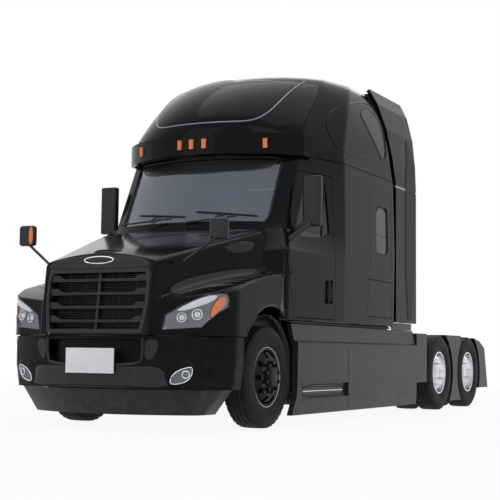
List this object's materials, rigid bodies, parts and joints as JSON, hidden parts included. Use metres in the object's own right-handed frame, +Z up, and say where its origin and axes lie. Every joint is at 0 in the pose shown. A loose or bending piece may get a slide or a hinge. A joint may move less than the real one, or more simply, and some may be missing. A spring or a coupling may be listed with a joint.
{
  "type": "semi truck tractor unit",
  "caption": "Conventional sleeper tractor with tilting hood, opening doors, steered front wheels, twin drive axles and a tilting fifth wheel plate.",
  "frame": {"origin": "centre of the bounding box's plan, on the ground", "axes": "+X forward, +Y to the left, +Z up"},
  "size_m": [8.98, 2.778, 4.0499],
  "materials": {
    "body_paint": "gloss black",
    "grey_trim": "satin charcoal",
    "glass": "tinted",
    "lamp": "clear lens",
    "amber": "amber lens",
    "red_lens": "red lens",
    "plate_white": "blank white",
    "frame_paint": "satin black",
    "iron": "black painted casting",
    "alloy": "polished",
    "deck_alloy": "tread plate",
    "black_rim": "gloss black",
    "tyre": "black rubber",
    "cabin": "grained grey",
    "upholstery": "woven grey"
  },
  "bodies": {
    "chassis": {"cab_shell": "body_paint", "roof_cap": "body_paint", "extenders": "body_paint", "bumper": "body_paint", "sun_visor": "body_paint", "windshield": "glass", "sleeper_windows": "glass", "fog_lamps": "lamp", "marker_lamps": "amber", "tail_lamps": "red_lens", "number_plate": "plate_white", "air_dam": "grey_trim", "side_fairings": "grey_trim", "drive_fenders": "grey_trim", "wipers": "grey_trim", "frame": "frame_paint", "radiator": "frame_paint", "engine_block": "iron", "drive_shaft": "iron", "fuel_tanks": "alloy", "front_axle": "iron", "drive_axles": "iron", "deck_plate": "deck_alloy", "fifth_wheel_stand": "iron", "dashboard": "cabin", "seats": "upholstery", "bunk": "upholstery"},
    "hood": {"hood": "body_paint", "grille": "grey_trim", "headlamps": "lamp", "hood_mirrors": "grey_trim"},
    "steering_wheel": {"steering_wheel": "cabin"},
    "tie_rod": {"tie_rod": "iron"},
    "fifth_wheel_plate": {"fifth_wheel_plate": "iron"},
    "door_left": {"door_left": "body_paint", "door_glass_left": "glass", "door_mirror_left": "grey_trim"},
    "luggage_door_left": {"luggage_door_left": "body_paint"},
    "knuckle_left": {"knuckle_left": "iron"},
    "front_wheel_left": {"front_rim_left": "black_rim", "front_tyre_left": "tyre"},
    "drive_wheels_front_left": {"drive_rims_front_left": "alloy", "drive_tyres_front_left": "tyre"},
    "drive_wheels_rear_left": {"drive_rims_rear_left": "alloy", "drive_tyres_rear_left": "tyre"},
    "door_right": {"door_right": "body_paint", "door_glass_right": "glass", "door_mirror_right": "grey_trim"},
    "luggage_door_right": {"luggage_door_right": "body_paint"},
    "knuckle_right": {"knuckle_right": "iron"},
    "front_wheel_right": {"front_rim_right": "black_rim", "front_tyre_right": "tyre"},
    "drive_wheels_front_right": {"drive_rims_front_right": "alloy", "drive_tyres_front_right": "tyre"},
    "drive_wheels_rear_right": {"drive_rims_rear_right": "alloy", "drive_tyres_rear_right": "tyre"}
  },
  "joints": [
    {"name": "hood_tilt", "type": "hinge", "parent": "chassis", "child": "hood", "pos_m": [4.475, 0, 0.895], "axis": [0, 1, 0], "range_deg": [0, 80]},
    {"name": "door_left_hinge", "type": "hinge", "parent": "chassis", "child": "door_left", "pos_m": [2.698, 1.197, 1.6], "axis": [0, 0, -1], "range_deg": [0, 70]},
    {"name": "luggage_left_hinge", "type": "hinge", "parent": "chassis", "child": "luggage_door_left", "pos_m": [0.56, 1.2505, 1.4], "axis": [0, 0, -1], "range_deg": [0, 90]},
    {"name": "steer_left", "type": "hinge", "parent": "chassis", "child": "knuckle_left", "pos_m": [3.07, 0.86, 0.51], "axis": [0, 0, 1], "range_deg": [-40, 40]},
    {"name": "front_wheel_left_spin", "type": "hinge", "parent": "knuckle_left", "child": "front_wheel_left", "pos_m": [3.07, 1.04, 0.51], "axis": [0, 1, 0], "continuous": true},
    {"name": "drive_wheels_front_left_spin", "type": "hinge", "parent": "chassis", "child": "drive_wheels_front_left", "pos_m": [-2.2, 0.92, 0.51], "axis": [0, 1, 0], "continuous": true},
    {"name": "drive_wheels_rear_left_spin", "type": "hinge", "parent": "chassis", "child": "drive_wheels_rear_left", "pos_m": [-3.52, 0.92, 0.51], "axis": [0, 1, 0], "continuous": true},
    {"name": "door_right_hinge", "type": "hinge", "parent": "chassis", "child": "door_right", "pos_m": [2.698, -1.197, 1.6], "axis": [0, 0, 1], "range_deg": [0, 70]},
    {"name": "luggage_right_hinge", "type": "hinge", "parent": "chassis", "child": "luggage_door_right", "pos_m": [0.56, -1.2505, 1.4], "axis": [0, 0, 1], "range_deg": [0, 90]},
    {"name": "steer_right", "type": "hinge", "parent": "chassis", "child": "knuckle_right", "pos_m": [3.07, -0.86, 0.51], "axis": [0, 0, 1], "range_deg": [-40, 40]},
    {"name": "front_wheel_right_spin", "type": "hinge", "parent": "knuckle_right", "child": "front_wheel_right", "pos_m": [3.07, -1.04, 0.51], "axis": [0, 1, 0], "continuous": true},
    {"name": "drive_wheels_front_right_spin", "type": "hinge", "parent": "chassis", "child": "drive_wheels_front_right", "pos_m": [-2.2, -0.92, 0.51], "axis": [0, 1, 0], "continuous": true},
    {"name": "drive_wheels_rear_right_spin", "type": "hinge", "parent": "chassis", "child": "drive_wheels_rear_right", "pos_m": [-3.52, -0.92, 0.51], "axis": [0, 1, 0], "continuous": true},
    {"name": "tie_rod_swing", "type": "hinge", "parent": "knuckle_left", "child": "tie_rod", "pos_m": [2.85, 0.86, 0.37], "axis": [0, 0, 1], "range_deg": [-40, 40]},
    {"name": "steering_wheel_turn", "type": "hinge", "parent": "chassis", "child": "steering_wheel", "pos_m": [2.01, 0.54, 1.98], "axis": [-0.6644, 0, 0.7474], "range_deg": [-720, 720]},
    {"name": "fifth_wheel_tilt", "type": "hinge", "parent": "chassis", "child": "fifth_wheel_plate", "pos_m": [-2.86, 0, 1.11], "axis": [0, 1, 0], "range_deg": [-15, 15]}
  ],
  "couplings": [
    {"joint": "steer_right", "follows": "steer_left", "ratio": 1},
    {"joint": "tie_rod_swing", "follows": "steer_left", "ratio": -1},
    {"joint": "steering_wheel_turn", "follows": "steer_left", "ratio": 18}
  ]
}
